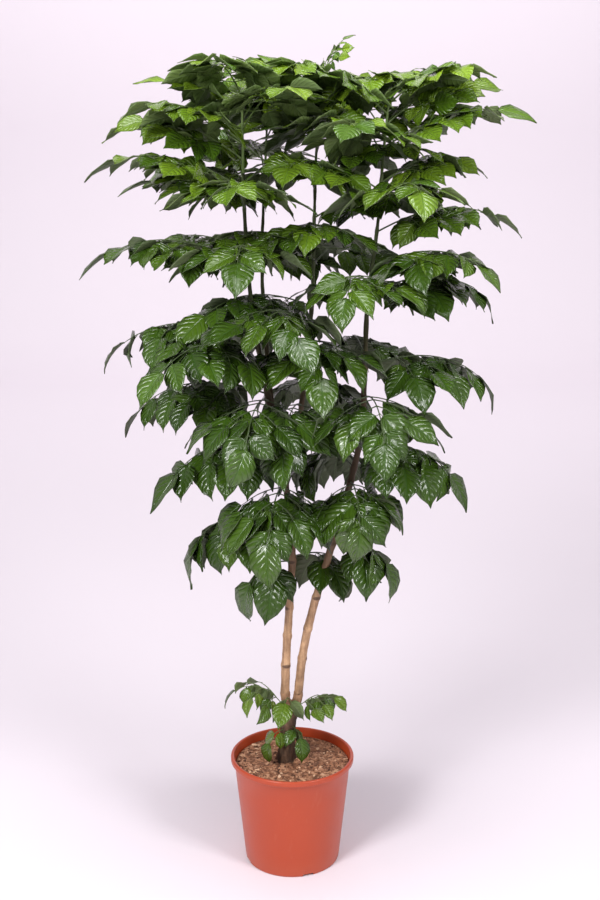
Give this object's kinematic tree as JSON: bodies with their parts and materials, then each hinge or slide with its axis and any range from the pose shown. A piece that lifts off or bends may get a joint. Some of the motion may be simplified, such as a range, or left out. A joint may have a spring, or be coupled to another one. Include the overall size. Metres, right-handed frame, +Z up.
{
  "type": "potted china doll plant",
  "caption": "Tall pot-grown china doll plant: two woody stems, a tiered crown of glossy twice-divided leaves and young basal shoots in a tapered plastic pot of soil.",
  "frame": {"origin": "centre of the pot's flat base, on the surface that the pot stands on", "axes": "+Z up along the pot's axis, -Y towards the plant's front, +X to the right as seen from the front"},
  "size_m": [0.8538, 0.7848, 1.7633],
  "materials": {
    "pot": "satin",
    "soil": "matte",
    "old_bark": "matte",
    "young_bark": "matte",
    "leaf": "gloss",
    "young_leaf": "gloss"
  },
  "bodies": {
    "root": {"pot": "pot", "potting_soil": "soil", "trunk_base": "old_bark", "left_stem": "young_bark", "right_stem": "young_bark", "rear_branch": "young_bark", "middle_branch": "young_bark", "left_leaf_01": "leaf", "left_leaf_02": "leaf", "left_leaf_03": "leaf", "left_leaf_04": "leaf", "left_leaf_05": "leaf", "left_leaf_06": "leaf", "left_leaf_07": "leaf", "left_leaf_08": "leaf", "left_leaf_09": "leaf", "left_leaf_10": "leaf", "left_leaf_11": "leaf", "left_leaf_12": "leaf", "left_leaf_13": "leaf", "left_leaf_14": "leaf", "left_leaf_15": "leaf", "left_leaf_16": "leaf", "rear_leaf_01": "leaf", "rear_leaf_02": "leaf", "rear_leaf_03": "leaf", "rear_leaf_04": "leaf", "rear_leaf_05": "leaf", "middle_leaf_01": "leaf", "middle_leaf_02": "leaf", "middle_leaf_03": "leaf", "middle_leaf_04": "leaf", "middle_leaf_05": "leaf", "middle_leaf_06": "leaf", "middle_leaf_07": "leaf", "middle_leaf_08": "leaf", "middle_leaf_09": "leaf", "right_leaf_01": "leaf", "right_leaf_02": "leaf", "right_leaf_03": "leaf", "right_leaf_04": "leaf", "right_leaf_05": "leaf", "right_leaf_06": "leaf", "right_leaf_07": "leaf", "right_leaf_08": "leaf", "right_leaf_09": "leaf", "right_leaf_10": "leaf", "right_leaf_11": "leaf", "right_leaf_12": "leaf", "right_leaf_13": "leaf", "right_leaf_14": "leaf", "left_tip_shoot": "young_leaf", "rear_tip_shoot": "young_leaf", "middle_tip_shoot": "young_leaf", "right_tip_shoot": "young_leaf", "basal_leaf_1": "young_leaf", "basal_leaf_2": "young_leaf", "basal_leaf_3": "young_leaf", "basal_leaf_4": "young_leaf", "basal_leaf_5": "young_leaf"}
  },
  "joints": []
}
